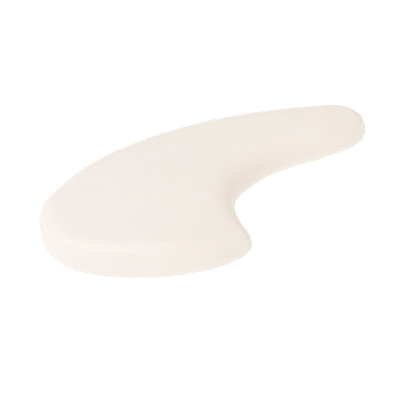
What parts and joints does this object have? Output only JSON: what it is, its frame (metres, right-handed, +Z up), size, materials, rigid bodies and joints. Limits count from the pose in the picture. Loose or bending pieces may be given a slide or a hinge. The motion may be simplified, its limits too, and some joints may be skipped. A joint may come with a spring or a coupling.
{
  "type": "silicone toe separator",
  "caption": "Soft one-piece comma-shaped toe separator: thick rounded body, a notch that seats the skin between two toes, a small lobe and a tapering arm.",
  "frame": {"origin": "middle of the bounding box's bottom, on the plane of the sole", "axes": "+X from the nose of the body to the tip of the arm, +Y from the front flank to the back edge, +Z up from the sole"},
  "size_m": [0.0608, 0.0444, 0.0086],
  "materials": {
    "silicone": "soft satin ivory silicone gel"
  },
  "bodies": {
    "root": {"toe_separator": "silicone"}
  },
  "joints": []
}
